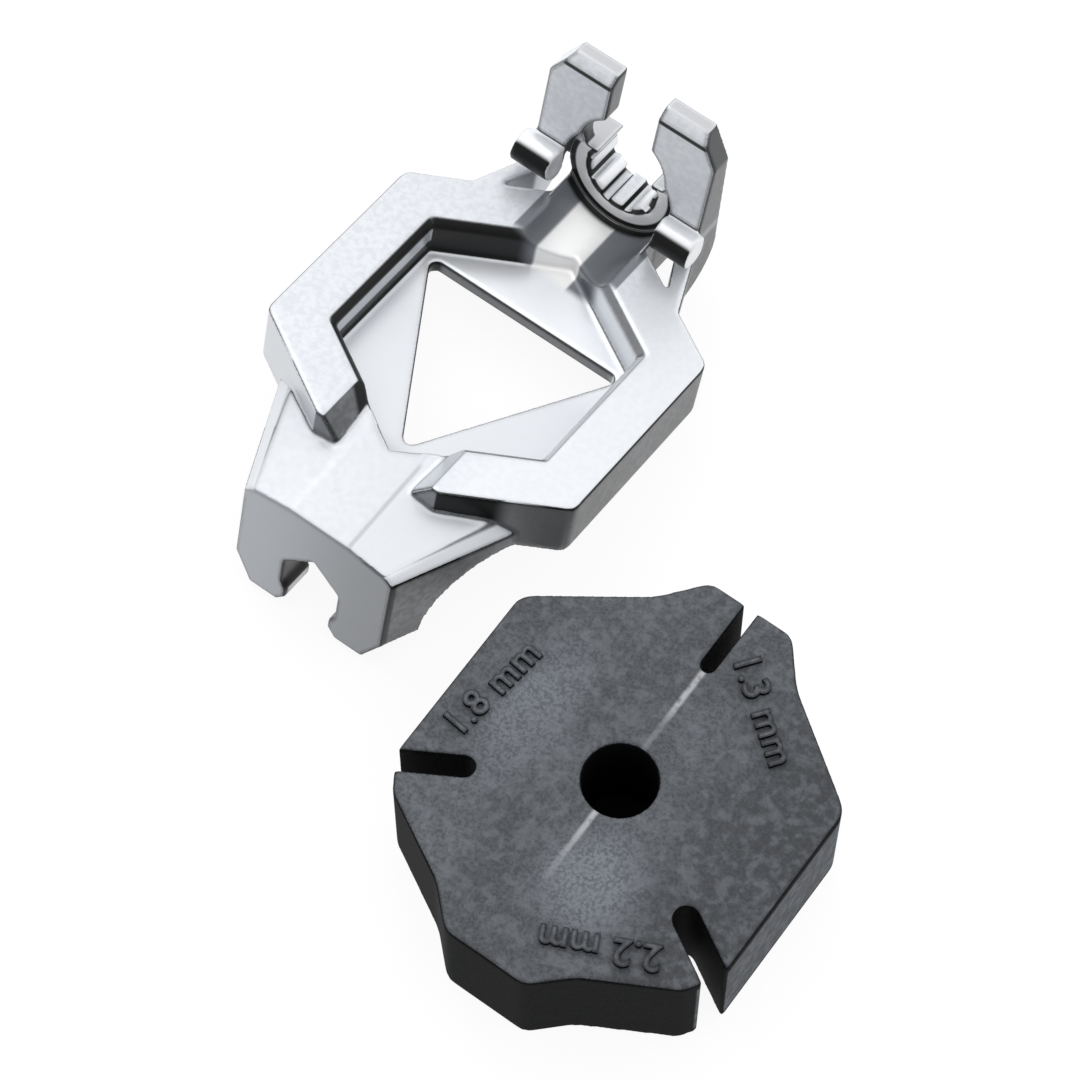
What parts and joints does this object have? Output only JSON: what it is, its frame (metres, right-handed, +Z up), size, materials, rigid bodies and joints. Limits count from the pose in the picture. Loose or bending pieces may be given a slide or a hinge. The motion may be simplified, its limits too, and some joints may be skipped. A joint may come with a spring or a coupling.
{
  "type": "spoke wrench",
  "caption": "Cast spoke wrench with a lipped square notch, a pierced hexagonal ring and a splined fork, beside a moulded holder for bladed spokes.",
  "frame": {"origin": "middle of the set, on the table that both tools lie on", "axes": "+Z up from the table, +Y along both tools towards the wrench's fork, +X to the right towards the holder"},
  "size_m": [0.0656, 0.0696, 0.0217],
  "materials": {
    "plated_casting": "bright plating over a lightly grained casting",
    "black_plastic": "mottled satin moulding"
  },
  "bodies": {
    "wrench": {"wrench_body": "plated_casting"},
    "holder": {"blade_holder": "black_plastic"}
  },
  "joints": [
    {"name": "holder_lift", "type": "slide", "parent": "wrench", "child": "holder", "axis": [0, 0, 1], "range_m": [0, 0.03]}
  ]
}
